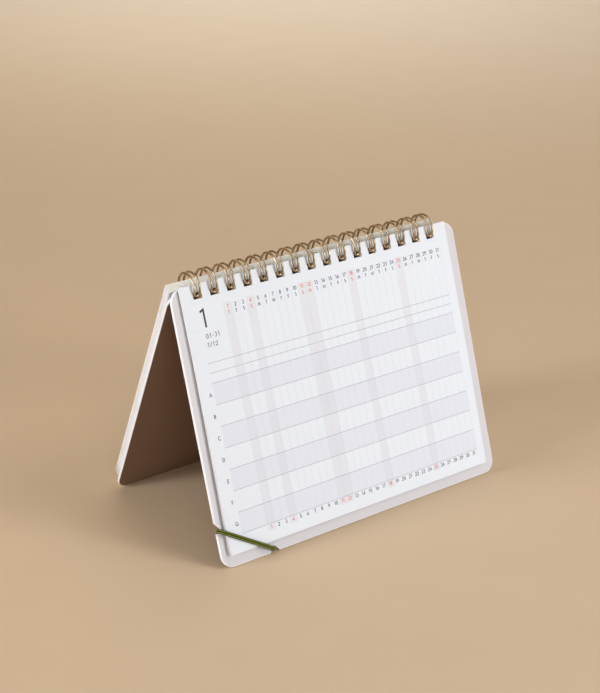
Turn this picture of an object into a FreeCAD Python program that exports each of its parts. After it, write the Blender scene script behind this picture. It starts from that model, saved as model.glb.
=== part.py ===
import FreeCAD, Part
import Sketcher
import math
import os

# Wire-bound desk calendar standing as a tent.
# Front leaf: stiff board with the open page pad in front of it.
# Rear leaf: second board with the turned pages lying on its outer side.
# A twin-loop wire runs through the punched rows of all four and is the hinge.
# Leaf frames: u across, v up the leaf from its foot, n out of the leaf.

os.makedirs("parts", exist_ok=True)
doc = FreeCAD.newDocument("desk_calendar")

V = FreeCAD.Vector

# ------------------------------------------------------------------ sheet
sheet = doc.addObject("Spreadsheet::Sheet", "dims")
CELLS = [
    # name, value in mm, degrees or a count, what it is
    ("board_width", "154.6", "cover boards, across"),
    ("board_height", "120.2", "cover boards, foot to top edge"),
    ("board_thick", "1.4", "cover boards"),
    ("corner_radius", "6.0", "cover board corners"),
    ("hole_count", "16", "punched holes in one row"),
    ("hole_pitch", "8.4667", "three holes to the inch"),
    ("hole_wide", "4.4", "punched hole, across"),
    ("hole_tall", "4.0", "punched hole, along v"),
    ("board_hole_low", "113.1", "lower edge of the holes in the boards"),
    ("row_shift", "0.9", "hole row left of the front board's centre"),
    ("page_width", "145.0", "sheets, across"),
    ("page_height", "115.2", "sheets, bottom to top edge"),
    ("page_low", "5.55", "front sheets, bottom edge above the foot"),
    ("page_hole_low", "108.8", "lower edge of the holes above the sheet bottom"),
    ("front_gap", "1.15", "front board face to the back of the pad"),
    ("front_pad_thick", "0.9", "sheets still in front"),
    ("rear_gap", "0.3", "rear board to the turned sheets"),
    ("rear_pad_thick", "3.9", "sheets turned to the back"),
    ("rear_page_low", "5.95", "innermost turned sheet, bottom edge above the foot"),
    ("rear_lean", "1.1", "outermost turned sheet rides higher by this"),
    ("rear_hole_slack", "0.25", "holes of the turned stack reach lower by this"),
    ("rear_page_side", "3.0", "turned sheets' centre left of the front board's centre"),
    ("rear_side", "1.4", "rear board right of the front board"),
    ("centre_x", "-0.7", "front board's centre from the middle of the whole"),
    ("front_tilt", "70.834", "front leaf from the table"),
    ("rear_tilt", "66.605", "rear leaf from the table"),
    ("front_foot_y", "-43.178", "table line of the front board"),
    ("rear_foot_y", "44.760", "table line of the rear board"),
    ("ring_y", "-1.944", "axis of the wire loops"),
    ("ring_z", "112.500", "axis of the wire loops"),
    ("ring_radius", "6.2", "wire loops, to the middle of the wire"),
    ("ring_shift", "0.9", "wire row left of the front board's centre"),
    ("wire_diameter", "1.0", "round wire"),
    ("loop_spread", "2.6", "the two wires of one loop, middle to middle"),
    ("root_bend", "1.0", "bend from a loop into the spine wire"),
    ("root_angle", "59.9", "loop start below the front leaf normal"),
    ("tip_angle", "28.0", "loop end below the front leaf normal"),
    ("wire_stub", "0.8", "cut ends of the wire"),
    ("notch_radius", "1.45", "rounded inner end of both notches"),
    ("side_notch_u", "76.3246", "inner end of the side notch left of the centre"),
    ("side_notch_v", "17.2408", "inner end of the side notch above the foot"),
    ("side_notch_low", "170", "direction of its lower wall, degrees"),
    ("side_notch_high", "130", "direction of its upper wall, degrees"),
    ("foot_notch_u", "50.9754", "inner end of the foot notch left of the centre"),
    ("foot_notch_v", "1.4092", "inner end of the foot notch above the foot"),
    ("foot_notch_right", "-51", "direction of its right wall, degrees"),
    ("foot_notch_left", "260", "direction of its left wall, degrees"),
    ("elastic_strand", "1.08", "each of the two strands of the elastic"),
    ("elastic_pitch", "0.92", "middle of one strand to the middle of the other"),
    ("elastic_gap", "0.2", "elastic to board edge and back"),
    ("elastic_bend", "0.85", "bends of the elastic round the board"),
]
for i, (name, value, note) in enumerate(CELLS, 1):
    sheet.set("A%d" % i, name)
    sheet.set("B%d" % i, value)
    sheet.set("C%d" % i, note)
    sheet.setAlias("B%d" % i, name)
doc.recompute()


def val(name):
    return float(sheet.get(name))


# ---------------------------------------------------------------- helpers
def origin_plane(body, role):
    for o in body.Origin.OriginFeatures:
        if getattr(o, "Role", "") == role:
            return o
    raise RuntimeError("no plane " + role)


def new_body(label):
    body = doc.addObject("PartDesign::Body", label)
    body.Label = label
    return body


def new_sketch(body, name, role="XY_Plane"):
    sk = body.newObject("Sketcher::SketchObject", name)
    sk.AttachmentSupport = [(origin_plane(body, role), "")]
    sk.MapMode = "FlatFace"
    return sk


def rectangle(sk, left, low, wide, tall):
    """Upright rectangle. left and low are sheet expressions for its distance
    left of the origin and above it; wide and tall are its size."""
    x0, y0 = -expr_value(left), expr_value(low)
    w, t = expr_value(wide), expr_value(tall)
    pts = [V(x0, y0, 0), V(x0 + w, y0, 0), V(x0 + w, y0 + t, 0), V(x0, y0 + t, 0)]
    for k in range(4):
        sk.addGeometry(Part.LineSegment(pts[k], pts[(k + 1) % 4]), False)
    for k in range(4):
        sk.addConstraint(Sketcher.Constraint("Coincident", k, 2, (k + 1) % 4, 1))
    sk.addConstraint(Sketcher.Constraint("Horizontal", 0))
    sk.addConstraint(Sketcher.Constraint("Horizontal", 2))
    sk.addConstraint(Sketcher.Constraint("Vertical", 1))
    sk.addConstraint(Sketcher.Constraint("Vertical", 3))
    n = sk.addConstraint(Sketcher.Constraint("DistanceX", 0, 1, 0, 2, w))
    sk.renameConstraint(n, "wide")
    sk.setExpression("Constraints.wide", wide)
    n = sk.addConstraint(Sketcher.Constraint("DistanceY", 1, 1, 1, 2, t))
    sk.renameConstraint(n, "tall")
    sk.setExpression("Constraints.tall", tall)
    n = sk.addConstraint(Sketcher.Constraint("DistanceX", 0, 1, -1, 1, -x0))
    sk.renameConstraint(n, "left")
    sk.setExpression("Constraints.left", left)
    if abs(y0) < 1e-9:
        sk.addConstraint(Sketcher.Constraint("PointOnObject", 0, 1, -1))
    else:
        n = sk.addConstraint(Sketcher.Constraint("DistanceY", -1, 1, 0, 1, y0))
        sk.renameConstraint(n, "low")
        sk.setExpression("Constraints.low", low)


def expr_value(text):
    """Value of a sum or difference of sheet cells and numbers."""
    total = 0.0
    for term in text.replace("-", "+-").split("+"):
        term = term.strip()
        if not term:
            continue
        sign = 1.0
        if term.startswith("-"):
            sign, term = -1.0, term[1:].strip()
        prod = sign
        for factor in term.split("*"):
            factor = factor.strip()
            for n, piece in enumerate(factor.split("/")):
                piece = piece.strip().replace("(", "").replace(")", "")
                number = val(piece[5:]) if piece.startswith("dims.") else float(piece)
                prod = prod * number if n == 0 else prod / number
        total += prod
    return total


def vertical_edges(shape, spots, tol=0.05):
    """Names of the edges along local Z that stand at the given (x, y)."""
    names = []
    for n, e in enumerate(shape.Edges, 1):
        a, b = e.Vertexes[0].Point, e.Vertexes[-1].Point
        if abs(a.x - b.x) < 1e-6 and abs(a.y - b.y) < 1e-6 and abs(a.z - b.z) > 0.1:
            if any(abs(a.x - x) < tol and abs(a.y - y) < tol for x, y in spots):
                names.append("Edge%d" % n)
    return names


def hole_row(body, centre_left, low):
    """Row of square punched holes, patterned across the leaf."""
    before = body.Tip.Shape.Volume
    sk = new_sketch(body, body.Label + "_hole")
    half_row = "dims.hole_pitch * 7.5"
    rectangle(sk, half_row + " + " + centre_left + " + dims.hole_wide / 2", low, "dims.hole_wide", "dims.hole_tall")
    cut = body.newObject("PartDesign::Pocket", body.Label + "_punch")
    cut.Profile = sk
    cut.Type = "ThroughAll"
    cut.Midplane = True
    sk.Visibility = False
    doc.recompute()
    one = before - cut.Shape.Volume
    assert one > 1.0, "punch removes nothing"
    row = body.newObject("PartDesign::LinearPattern", body.Label + "_row")
    row.Originals = [cut]
    row.Direction = (sk, ["H_Axis"])
    row.Length = val("hole_pitch") * (val("hole_count") - 1)
    row.Occurrences = int(val("hole_count"))
    row.setExpression("Length", "dims.hole_pitch * (dims.hole_count - 1)")
    row.setExpression("Occurrences", "dims.hole_count")
    body.Tip = row
    doc.recompute()
    gone = before - row.Shape.Volume
    assert abs(gone - one * int(val("hole_count"))) < 0.02 * gone, "hole row incomplete"


def cover_board(label, notched, row_left):
    """Greyboard panel with rounded corners; its face lies in local XY and
    its thickness runs to -Z."""
    body = new_body(label)
    sk = new_sketch(body, label + "_outline")
    rectangle(sk, "dims.board_width / 2", "0", "dims.board_width", "dims.board_height")
    pad = body.newObject("PartDesign::Pad", label + "_panel")
    pad.Profile = sk
    pad.Length = val("board_thick")
    pad.setExpression("Length", "dims.board_thick")
    pad.Reversed = True
    doc.recompute()
    assert pad.Shape.BoundBox.ZMax < 1e-6
    half, top = val("board_width") / 2, val("board_height")
    corners = [(-half, 0.0), (half, 0.0), (half, top), (-half, top)]
    names = vertical_edges(pad.Shape, corners)
    assert len(names) == 4
    fil = body.newObject("PartDesign::Fillet", label + "_corners")
    fil.Base = (pad, names)
    fil.Radius = val("corner_radius")
    fil.setExpression("Radius", "dims.corner_radius")
    doc.recompute()
    hole_row(body, row_left, "dims.board_hole_low")
    if notched:
        # Two notches for the elastic, one in the left edge and one in the
        # foot: a round inner end and two straight walls that spread outwards.
        for name, first, second in (("side_notch", "side_notch_low", "side_notch_high"), ("foot_notch", "foot_notch_right", "foot_notch_left")):
            before = body.Tip.Shape.Volume
            sk = new_sketch(body, label + "_" + name)
            r = val("notch_radius")
            c = V(-val(name + "_u"), val(name + "_v"), 0)
            a0, a1 = math.radians(val(first)), math.radians(val(second))
            start, end = a0 + math.pi / 2, a1 - math.pi / 2
            while end < start:
                end += 2 * math.pi
            p0 = c + V(math.cos(start), math.sin(start), 0) * r
            p1 = c + V(math.cos(end), math.sin(end), 0) * r
            q0 = p0 + V(math.cos(a0), math.sin(a0), 0) * 6
            q1 = p1 + V(math.cos(a1), math.sin(a1), 0) * 6
            sk.addGeometry(Part.ArcOfCircle(Part.Circle(c, V(0, 0, 1), r), start, end), False)
            sk.addGeometry(Part.LineSegment(p1, q1), False)
            sk.addGeometry(Part.LineSegment(q1, q0), False)
            sk.addGeometry(Part.LineSegment(q0, p0), False)
            sk.addConstraint(Sketcher.Constraint("Tangent", 0, 2, 1, 1))
            sk.addConstraint(Sketcher.Constraint("Coincident", 1, 2, 2, 1))
            sk.addConstraint(Sketcher.Constraint("Coincident", 2, 2, 3, 1))
            sk.addConstraint(Sketcher.Constraint("Tangent", 3, 2, 0, 1))
            for cell, kind, where, v, text in (
                ("bend", "Radius", (0,), r, "dims.notch_radius"),
                ("across", "DistanceX", (0, 3, -1, 1), -c.x, "dims.%s_u" % name),
                ("height", "DistanceY", (-1, 1, 0, 3), c.y, "dims.%s_v" % name),
                ("second_wall", "Distance", (1,), 6, None),
                ("first_wall", "Distance", (3,), 6, None),
                ("second_way", "Angle", (1,), a1, "dims.%s * 1 deg" % second),
                ("first_way", "Angle", (3,), a0 + math.pi, "(dims.%s + 180) * 1 deg" % first),
            ):
                n = sk.addConstraint(Sketcher.Constraint(kind, *where, v))
                sk.renameConstraint(n, cell)
                if text:
                    sk.setExpression("Constraints." + cell, text)
            assert sk.solve() == 0, name + " sketch"
            cut = body.newObject("PartDesign::Pocket", label + "_" + name + "_cut")
            cut.Profile = sk
            cut.Type = "ThroughAll"
            cut.Midplane = True
            body.Tip = cut
            doc.recompute()
            assert 3.0 < before - cut.Shape.Volume < 30.0, name + " removes %.2f" % (before - cut.Shape.Volume)
    return body


def leaning_slab(sk, low, tall, near, far, lean):
    """Section of a leaning stack on the YZ plane. Each argument is a pair of
    value and sheet expression; near and far are depths to local -Z."""
    (l, _), (t, _), (n0, _), (n1, _), (h, _) = low, tall, near, far, lean
    pts = [V(l, -n0, 0), V(l + t, -n0, 0), V(l + h + t, -n1, 0), V(l + h, -n1, 0)]
    for k in range(4):
        sk.addGeometry(Part.LineSegment(pts[k], pts[(k + 1) % 4]), False)
    for k in range(4):
        sk.addConstraint(Sketcher.Constraint("Coincident", k, 2, (k + 1) % 4, 1))
    sk.addConstraint(Sketcher.Constraint("Horizontal", 0))
    sk.addConstraint(Sketcher.Constraint("Horizontal", 2))
    for name, kind, ends, (v, text) in (
        ("low", "DistanceX", (-1, 1, 0, 1), low),
        ("tall", "DistanceX", (0, 1, 0, 2), tall),
        ("tall_far", "DistanceX", (2, 2, 2, 1), tall),
        ("lean", "DistanceX", (0, 1, 2, 2), lean),
        ("near", "DistanceY", (0, 1, -1, 1), near),
        ("far", "DistanceY", (2, 2, -1, 1), far),
    ):
        n = sk.addConstraint(Sketcher.Constraint(kind, *ends, v))
        sk.renameConstraint(n, name)
        sk.setExpression("Constraints." + name, text)


def leaning_pad(label):
    """Turned sheets as one solid: the section leans because the outer sheets
    ride higher on the wire; the holes lean with it."""
    body = new_body(label)
    near, thick, lean = val("board_thick") + val("rear_gap"), val("rear_pad_thick"), val("rear_lean")
    low, hole, slack = val("rear_page_low"), val("page_hole_low"), val("rear_hole_slack")
    near_text = "dims.board_thick + dims.rear_gap"
    far_text = near_text + " + dims.rear_pad_thick"
    sk = new_sketch(body, label + "_section", "YZ_Plane")
    leaning_slab(sk, (low, "dims.rear_page_low"), (val("page_height"), "dims.page_height"), (near, near_text), (near + thick, far_text), (lean, "dims.rear_lean"))
    sk.AttachmentOffset = FreeCAD.Placement(V(0, 0, -val("rear_page_side")), FreeCAD.Rotation())
    sk.setExpression(".AttachmentOffset.Base.z", "-dims.rear_page_side")
    pad = body.newObject("PartDesign::Pad", label + "_stack")
    pad.Profile = sk
    pad.Length = val("page_width")
    pad.setExpression("Length", "dims.page_width")
    pad.Midplane = True
    doc.recompute()
    box = pad.Shape.BoundBox
    assert abs(box.ZMax + near) < 1e-3 and abs(box.ZMin + near + thick) < 1e-3
    assert abs(box.XMin + val("rear_page_side") + val("page_width") / 2) < 1e-3
    # one hole, cut half a millimetre past both faces, then the row
    before = pad.Shape.Volume
    sk = new_sketch(body, label + "_hole", "YZ_Plane")
    over = 0.5
    leaning_slab(
        sk,
        (low + hole - slack - lean * over / thick, "dims.rear_page_low + dims.page_hole_low - dims.rear_hole_slack - dims.rear_lean * 0.5 / dims.rear_pad_thick"),
        (val("hole_tall") + slack, "dims.hole_tall + dims.rear_hole_slack"),
        (near - over, near_text + " - 0.5"),
        (near + thick + over, far_text + " + 0.5"),
        (lean * (thick + 2 * over) / thick, "dims.rear_lean * (dims.rear_pad_thick + 1) / dims.rear_pad_thick"),
    )
    first_hole = -val("hole_pitch") * (val("hole_count") - 1) / 2 - val("row_shift")
    sk.AttachmentOffset = FreeCAD.Placement(V(0, 0, first_hole), FreeCAD.Rotation())
    sk.setExpression(".AttachmentOffset.Base.z", "-dims.hole_pitch * (dims.hole_count - 1) / 2 - dims.row_shift")
    cut = body.newObject("PartDesign::Pocket", label + "_punch")
    cut.Profile = sk
    cut.Length = val("hole_wide")
    cut.setExpression("Length", "dims.hole_wide")
    cut.Midplane = True
    sk.Visibility = False
    doc.recompute()
    one = before - cut.Shape.Volume
    assert one > 1.0, "punch removes nothing"
    row = body.newObject("PartDesign::LinearPattern", label + "_row")
    row.Originals = [cut]
    row.Direction = (sk, ["N_Axis"])
    row.Length = val("hole_pitch") * (val("hole_count") - 1)
    row.Occurrences = int(val("hole_count"))
    row.setExpression("Length", "dims.hole_pitch * (dims.hole_count - 1)")
    row.setExpression("Occurrences", "dims.hole_count")
    body.Tip = row
    doc.recompute()
    if before - row.Shape.Volume < one * 2:
        row.Reversed = True
        doc.recompute()
    gone = before - row.Shape.Volume
    assert abs(gone - one * int(val("hole_count"))) < 0.02 * gone, "hole row incomplete"
    return body


def page_pad(label, centre_left, low, start, thick, outward):
    """Stack of loose sheets as one solid, square corners, own hole row."""
    body = new_body(label)
    sk = new_sketch(body, label + "_sheet")
    rectangle(sk, "dims.page_width / 2 + " + centre_left, low, "dims.page_width", "dims.page_height")
    sign = 1.0 if outward else -1.0
    sk.AttachmentOffset = FreeCAD.Placement(V(0, 0, sign * expr_value(start)), FreeCAD.Rotation())
    sk.setExpression(".AttachmentOffset.Base.z", start if outward else "-(" + start + ")")
    pad = body.newObject("PartDesign::Pad", label + "_stack")
    pad.Profile = sk
    pad.Length = expr_value(thick)
    pad.setExpression("Length", thick)
    pad.Reversed = not outward
    doc.recompute()
    box = pad.Shape.BoundBox
    want = sorted((sign * expr_value(start), sign * (expr_value(start) + expr_value(thick))))
    assert abs(box.ZMin - want[0]) < 1e-3 and abs(box.ZMax - want[1]) < 1e-3
    hole_row(body, centre_left, low + " + dims.page_hole_low")
    return body


# ------------------------------------------------------------- the leaves
front_tilt = val("front_tilt")
rear_tilt = val("rear_tilt")
tb = val("board_thick")

# The lowest line of the leaning front board is the back edge of its foot, so
# the leaf frame (n = 0 on the board's face) is lifted by the board's thickness.
a = math.radians(front_tilt)
front_up = V(0, math.cos(a), math.sin(a))
front_out = V(0, -math.sin(a), math.cos(a))
front_base = V(val("centre_x"), val("front_foot_y"), 0) + front_out * tb
front_place = FreeCAD.Placement(front_base, FreeCAD.Rotation(V(1, 0, 0), front_tilt))

b = math.radians(rear_tilt)
rear_place = FreeCAD.Placement(V(val("centre_x"), val("rear_foot_y"), 0), FreeCAD.Rotation(V(1, 0, 0), 180.0 - rear_tilt))


def place_front(obj):
    obj.Placement = front_place
    obj.setExpression(".Placement.Base.x", "dims.centre_x")
    obj.setExpression(".Placement.Base.y", "dims.front_foot_y - dims.board_thick * sin(dims.front_tilt * 1deg)")
    obj.setExpression(".Placement.Base.z", "dims.board_thick * cos(dims.front_tilt * 1deg)")
    obj.setExpression(".Placement.Rotation.Angle", "dims.front_tilt * 1deg")


def place_rear(obj, side="0"):
    obj.Placement = rear_place
    obj.setExpression(".Placement.Base.x", "dims.centre_x + " + side)
    obj.setExpression(".Placement.Base.y", "dims.rear_foot_y")
    obj.setExpression(".Placement.Rotation.Angle", "180deg - dims.rear_tilt * 1deg")


front_board = cover_board("front_cover_board", True, "dims.row_shift")
place_front(front_board)
rear_board = cover_board("rear_cover_board", False, "dims.row_shift + dims.rear_side")
place_rear(rear_board, "dims.rear_side")

front_pad = page_pad("front_page_pad", "dims.row_shift", "dims.page_low", "dims.front_gap", "dims.front_pad_thick", True)
place_front(front_pad)
rear_pad = leaning_pad("turned_page_pad")
place_rear(rear_pad)

# --------------------------------------------------------- twin-loop wire
# One continuous wire: a straight spine run, up round a nearly full circle, a
# hairpin turn, back round the circle, and on along the spine to the next loop.
R = val("ring_radius")
axis = V(0, val("ring_y"), val("ring_z"))
spread = val("loop_spread") / 2
bend = val("root_bend")
pitch = val("hole_pitch")
count = int(val("hole_count"))
first = -pitch * (count - 1) / 2 - val("ring_shift") + val("centre_x")


def on_ring(x, deg):
    """Point of the loop circle; deg turns from the front leaf's normal
    towards its upward direction."""
    r = math.radians(deg)
    return V(x, 0, 0) + axis + (front_out * math.cos(r) + front_up * math.sin(r)) * R


def along(deg):
    r = math.radians(deg)
    return front_up * math.cos(r) - front_out * math.sin(r)


root = -val("root_angle")
tip = -360.0 - val("tip_angle")
mid = (root + tip) / 2
ex = V(1, 0, 0)
edges = []


def bend_arc(p, d0, d1, r, turn=90.0):
    """Arc from p that leaves along d0 and swings towards d1."""
    c = p + d1 * r
    h = math.radians(turn / 2)
    t = math.radians(turn)
    pm = c - d1 * (r * math.cos(h)) + d0 * (r * math.sin(h))
    pe = c - d1 * (r * math.cos(t)) + d0 * (r * math.sin(t))
    return Part.Arc(p, pm, pe).toShape(), pe


cursor = None
for k in range(count):
    cx = first + pitch * k
    xl, xr = cx - spread, cx + spread
    # spine run and bend into the left wire of the loop
    rise = along(root)                     # from the circle back towards the spine
    left_foot = on_ring(xl, root)
    spine_left = left_foot + rise * bend - ex * bend
    start = spine_left - ex * val("wire_stub") if cursor is None else cursor
    edges.append(Part.LineSegment(start, spine_left).toShape())
    arc, end = bend_arc(spine_left, ex, -rise, bend)
    edges.append(arc)
    # left wire, round the circle to the hairpin
    edges.append(Part.Arc(on_ring(xl, root), on_ring(xl, mid), on_ring(xl, tip)).toShape())
    # hairpin
    hair_mid = on_ring(cx, tip) - along(tip) * spread
    edges.append(Part.Arc(on_ring(xl, tip), hair_mid, on_ring(xr, tip)).toShape())
    # right wire, back round the circle
    edges.append(Part.Arc(on_ring(xr, tip), on_ring(xr, mid), on_ring(xr, root)).toShape())
    # bend back into the spine
    arc, cursor = bend_arc(on_ring(xr, root), rise, ex, bend)
    edges.append(arc)
edges.append(Part.LineSegment(cursor, cursor + ex * val("wire_stub")).toShape())

wire_path = doc.addObject("Part::Feature", "wire_path")
wire_path.Shape = Part.Wire(edges)

wire_end = doc.addObject("Part::Circle", "wire_end")
wire_end.Radius = val("wire_diameter") / 2
wire_end.setExpression("Radius", "dims.wire_diameter / 2")
wire_end.Placement = FreeCAD.Placement(edges[0].Vertexes[0].Point, FreeCAD.Rotation(V(0, 0, 1), ex))

wire = doc.addObject("Part::Sweep", "twin_loop_wire")
wire.Label = "twin_loop_wire"
wire.Sections = [wire_end]
wire.Spine = (wire_path, ["Edge%d" % (n + 1) for n in range(len(wire_path.Shape.Edges))])
wire.Solid = True
wire.Frenet = False
wire.Transition = "Right corner"

# --------------------------------------------------------- corner elastic
# A closed loop of two strands side by side: over the pad's lower left corner
# in front, round the board through both notches, straight across the back.
half = val("board_width") / 2
side_c = V(-val("side_notch_u"), val("side_notch_v"), 0)
foot_c = V(-val("foot_notch_u"), val("foot_notch_v"), 0)
diag = foot_c - side_c
span = diag.Length - 2 * val("notch_radius")
diag.normalize()
touch = side_c + diag * val("notch_radius")
er = val("elastic_strand") / 2
eg = val("elastic_gap")
face = val("front_gap") + val("front_pad_thick")
low_n = -tb - er - eg
high_n = face + er + 0.1
left_s = -er - eg - 0.04
right_s = span + er + eg + 0.12
corner_pts = [V(left_s, low_n, 0), V(left_s, high_n, 0), V(span - 4.2, high_n, 0), V(right_s, 0.65, 0), V(right_s, low_n, 0)]

elastic = new_body("corner_elastic_band")
loop = new_sketch(elastic, "elastic_loop")
rb = val("elastic_bend")
cut_pts = []
for k in range(5):
    p0, p1, p2 = corner_pts[k - 1], corner_pts[k], corner_pts[(k + 1) % 5]
    d0 = (p0 - p1).normalize()
    d2 = (p2 - p1).normalize()
    half_turn = d0.getAngle(d2) / 2
    back = rb / math.tan(half_turn)
    centre = p1 + (d0 + d2).normalize() * (rb / math.sin(half_turn))
    cut_pts.append((p1 + d0 * back, centre - (centre - p1).normalize() * rb, p1 + d2 * back))
mid_back = (cut_pts[4][2] + cut_pts[0][0]) * 0.5
segments = [Part.LineSegment(mid_back, cut_pts[0][0])]
for k in range(5):
    segments.append(Part.Arc(*cut_pts[k]))
    nxt = cut_pts[(k + 1) % 5][0] if k < 4 else mid_back
    segments.append(Part.LineSegment(cut_pts[k][2], nxt))
shift = V(mid_back.x, 0, 0)
for seg in segments:
    seg.translate(shift * -1.0)
    loop.addGeometry(seg, False)
for k in range(len(segments)):
    loop.addConstraint(Sketcher.Constraint("Block", k))

profile = new_sketch(elastic, "elastic_section", "YZ_Plane")
side_way = val("elastic_pitch") / 2
cusp = math.degrees(math.acos(side_way / er))
for way, start in ((1, cusp - 90), (-1, cusp + 90)):
    ring = Part.Circle(V(low_n, way * side_way, 0), V(0, 0, 1), er)
    profile.addGeometry(Part.ArcOfCircle(ring, math.radians(start), math.radians(start + 360 - 2 * cusp)), False)
profile.addConstraint(Sketcher.Constraint("Coincident", 0, 2, 1, 1))
profile.addConstraint(Sketcher.Constraint("Coincident", 1, 2, 0, 1))
profile.addConstraint(Sketcher.Constraint("Equal", 0, 1))
profile.addConstraint(Sketcher.Constraint("Vertical", 0, 3, 1, 3))
for cell, kind, where, v, text in (
    ("depth", "DistanceX", (0, 3, -1, 1), -low_n, "dims.board_thick + dims.elastic_strand / 2 + dims.elastic_gap"),
    ("upper", "DistanceY", (-1, 1, 0, 3), side_way, "dims.elastic_pitch / 2"),
    ("lower", "DistanceY", (1, 3, -1, 1), side_way, "dims.elastic_pitch / 2"),
    ("thick", "Radius", (0,), er, "dims.elastic_strand / 2"),
):
    n = profile.addConstraint(Sketcher.Constraint(kind, *where, v))
    profile.renameConstraint(n, cell)
    profile.setExpression("Constraints." + cell, text)
assert profile.solve() == 0, "elastic section"
doc.recompute()
pipe = elastic.newObject("PartDesign::AdditivePipe", "elastic_run")
pipe.Profile = profile
pipe.Spine = (loop, ["Edge%d" % (k + 1) for k in range(len(segments))])
elastic.Tip = pipe
doc.recompute()
# local X along the diagonal, local Y out of the leaf
dx = front_place.Rotation.multVec(diag)
dy = front_out
rot = FreeCAD.Rotation(dx, dy, V(0, 0, 0), "XYZ")
elastic.Placement = FreeCAD.Placement(front_place.multVec(touch + diag * mid_back.x), rot)

doc.recompute()

# ----------------------------------------------------------------- output
subparts = [front_board, front_pad, wire, elastic, rear_board, rear_pad]
for o in doc.Objects:
    if "Invalid" in o.State or "Error" in o.State:
        raise RuntimeError("%s: %s" % (o.Name, o.State))
for o in subparts:
    s = o.Shape
    assert not s.isNull() and s.isValid(), o.Label
    assert len(s.Solids) == 1, (o.Label, len(s.Solids))
    assert s.Volume > 0, o.Label
    s.exportStep("parts/%s.step" % o.Label)
    bb = s.BoundBox
    print("%-22s vol %10.2f  x %8.3f %8.3f  y %8.3f %8.3f  z %8.3f %8.3f" % (o.Label, s.Volume, bb.XMin, bb.XMax, bb.YMin, bb.YMax, bb.ZMin, bb.ZMax))
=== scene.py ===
import math
import random

import bmesh
import bpy
import numpy as np
from mathutils import Matrix, Vector


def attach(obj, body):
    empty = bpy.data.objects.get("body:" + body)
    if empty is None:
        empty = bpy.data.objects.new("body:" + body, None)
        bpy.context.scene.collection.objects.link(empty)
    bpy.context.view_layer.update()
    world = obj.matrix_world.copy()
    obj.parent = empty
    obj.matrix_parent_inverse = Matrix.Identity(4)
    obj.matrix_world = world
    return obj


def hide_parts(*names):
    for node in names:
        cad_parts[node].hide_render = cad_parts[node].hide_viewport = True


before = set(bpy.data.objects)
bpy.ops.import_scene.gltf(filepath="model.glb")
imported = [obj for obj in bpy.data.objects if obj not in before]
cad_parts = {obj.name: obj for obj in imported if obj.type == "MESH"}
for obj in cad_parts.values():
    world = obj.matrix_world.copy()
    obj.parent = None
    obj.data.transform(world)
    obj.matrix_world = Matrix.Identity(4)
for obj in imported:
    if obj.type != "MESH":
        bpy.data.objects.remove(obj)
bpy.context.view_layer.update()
MM = 0.001
scene = bpy.context.scene
scene.view_settings.view_transform = "Standard"
scene.view_settings.look = "None"

# ------------------------------------------------------------ leaf frames
# u across, v up the leaf from its foot, n out of the leaf, all in mm
CENTRE_X = -0.7
FRONT_TILT, REAR_TILT = math.radians(70.834), math.radians(66.605)
BOARD_T = 1.4
F_UP = np.array([0, math.cos(FRONT_TILT), math.sin(FRONT_TILT)])
F_OUT = np.array([0, -math.sin(FRONT_TILT), math.cos(FRONT_TILT)])
F_BASE = np.array([CENTRE_X, -43.178, 0.0]) + F_OUT * BOARD_T
R_UP = np.array([0, -math.cos(REAR_TILT), math.sin(REAR_TILT)])
R_OUT = np.array([0, math.sin(REAR_TILT), math.cos(REAR_TILT)])
R_BASE = np.array([CENTRE_X, 44.760, 0.0])
EX = np.array([1.0, 0.0, 0.0])
RING = np.array([0.0, -1.944, 112.5])


def front(p):
    p = np.asarray(p, float)
    return F_BASE + p[..., :1] * EX + p[..., 1:2] * F_UP + p[..., 2:3] * F_OUT


def rear(p):
    p = np.asarray(p, float)
    return R_BASE + p[..., :1] * EX + p[..., 1:2] * R_UP + p[..., 2:3] * R_OUT


# Near the wire the loose sheets in front lie closer to their board.
BEND_V = [40.0 + 7.2 * i for i in range(11)]
BEND_S = [t * t * (3 - 2 * t) for t in [i / 10 for i in range(11)]]


def page(p):
    p = np.array(p, float)
    s = np.interp(p[..., 1], BEND_V, BEND_S)
    p[..., 0] += 0.42 * s
    p[..., 2] -= 0.66 * s
    return front(p)


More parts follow.
